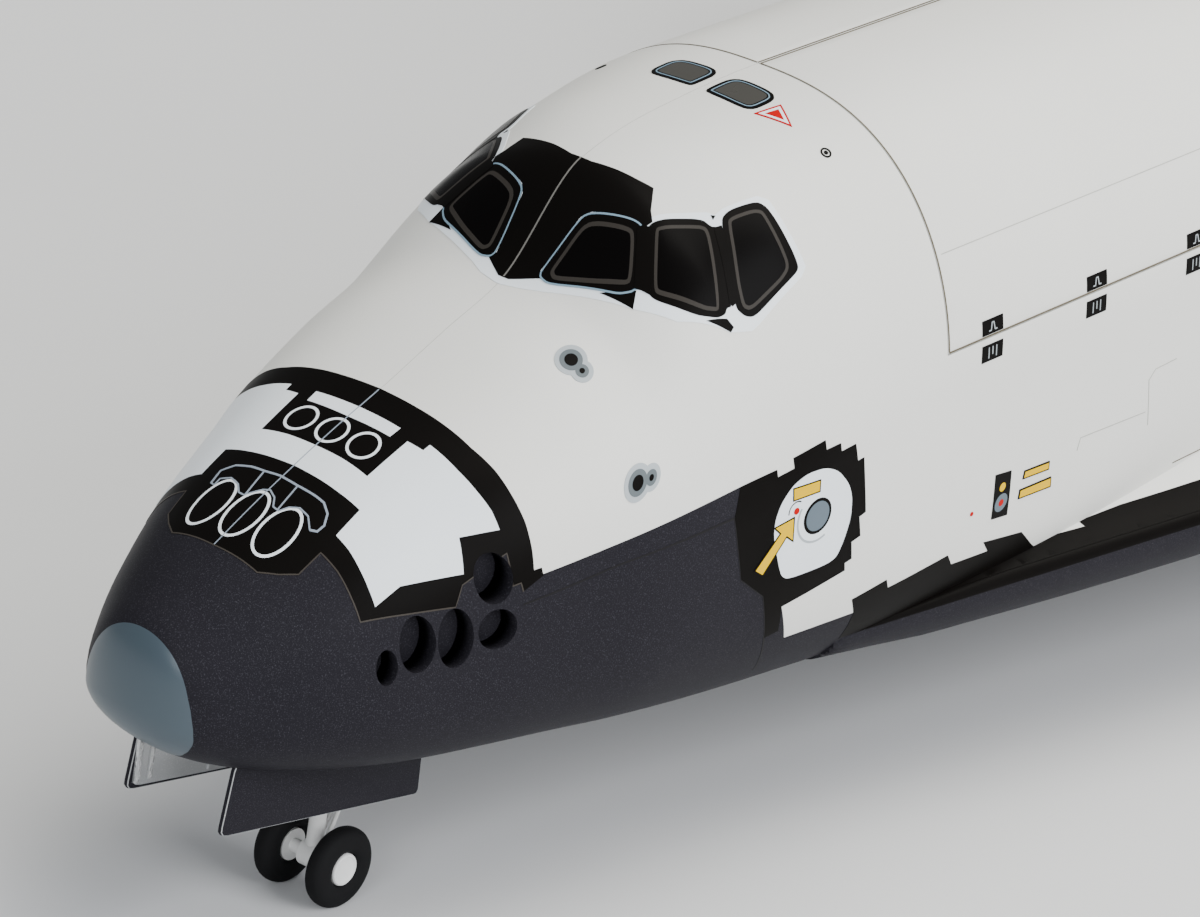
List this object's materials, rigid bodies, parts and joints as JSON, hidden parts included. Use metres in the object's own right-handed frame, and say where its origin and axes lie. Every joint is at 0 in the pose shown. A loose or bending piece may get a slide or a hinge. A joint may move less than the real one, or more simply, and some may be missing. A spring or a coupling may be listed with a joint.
{
  "type": "space shuttle display model",
  "caption": "Scale display model of a winged space shuttle on its landing gear, with a hollow payload bay under two hinged doors and free-turning wheels.",
  "frame": {"origin": "centre of the model's box, on the surface that its wheels stand on", "axes": "nose towards -Y, port side towards +X, up +Z"},
  "size_m": [0.165, 0.2496, 0.1211],
  "materials": {
    "white_hull": "satin white paint on moulded plastic",
    "black_paint": "satin black paint on moulded plastic",
    "nose_grey": "satin slate grey paint",
    "bay_grey": "matt pale grey paint",
    "engine_metal": "metallic paint on moulded plastic",
    "radiator_silver": "silver paint on moulded plastic",
    "gear_white": "satin white paint",
    "tyre_black": "matt black paint"
  },
  "bodies": {
    "airframe": {"fuselage_left": "white_hull", "fuselage_right": "white_hull", "nose_cap": "nose_grey", "bay_trough": "bay_grey", "bay_bulkhead_front": "bay_grey", "bay_bulkhead_rear": "bay_grey", "manipulator_arm": "bay_grey", "wing_left": "black_paint", "wing_right": "black_paint", "elevon_inner_left": "white_hull", "elevon_outer_left": "white_hull", "elevon_inner_right": "white_hull", "elevon_outer_right": "white_hull", "body_flap": "black_paint", "tail_fin": "white_hull", "rudder": "white_hull", "oms_pod_left": "white_hull", "oms_pod_right": "white_hull", "oms_nozzle_left": "engine_metal", "oms_nozzle_right": "engine_metal", "heat_shield": "black_paint", "main_engine_top": "engine_metal", "main_engine_left": "engine_metal", "main_engine_right": "engine_metal", "nose_leg": "gear_white", "nose_gear_door_left": "black_paint", "nose_gear_door_right": "black_paint", "main_leg_left": "gear_white", "main_leg_right": "gear_white", "main_gear_door_left": "black_paint", "main_gear_door_right": "black_paint"},
    "payload_door_left": {"payload_door_left": "white_hull", "radiator_left": "radiator_silver"},
    "payload_door_right": {"payload_door_right": "white_hull", "radiator_right": "radiator_silver"},
    "nose_wheels": {"nose_wheels_hubs": "gear_white", "nose_wheels_tyre_a": "tyre_black", "nose_wheels_tyre_b": "tyre_black"},
    "main_wheels_left": {"main_wheels_left_hubs": "gear_white", "main_wheels_left_tyre_a": "tyre_black", "main_wheels_left_tyre_b": "tyre_black"},
    "main_wheels_right": {"main_wheels_right_hubs": "gear_white", "main_wheels_right_tyre_a": "tyre_black", "main_wheels_right_tyre_b": "tyre_black"}
  },
  "joints": [
    {"name": "payload_door_left_hinge", "type": "hinge", "parent": "airframe", "child": "payload_door_left", "pos_m": [0.01849, -0.00343, 0.0407], "axis": [0, 0.9977, 0.0684], "range_deg": [0, 175]},
    {"name": "payload_door_right_hinge", "type": "hinge", "parent": "airframe", "child": "payload_door_right", "pos_m": [-0.01849, -0.00343, 0.0407], "axis": [0, -0.9977, -0.0684], "range_deg": [0, 175]},
    {"name": "nose_wheels_spin", "type": "hinge", "parent": "airframe", "child": "nose_wheels", "pos_m": [0, -0.10488, 0.0028], "axis": [1, 0, 0], "continuous": true},
    {"name": "main_wheels_left_spin", "type": "hinge", "parent": "airframe", "child": "main_wheels_left", "pos_m": [0.02399, 0.03932, 0.0039], "axis": [1, 0, 0], "continuous": true},
    {"name": "main_wheels_right_spin", "type": "hinge", "parent": "airframe", "child": "main_wheels_right", "pos_m": [-0.02399, 0.03932, 0.0039], "axis": [1, 0, 0], "continuous": true}
  ]
}
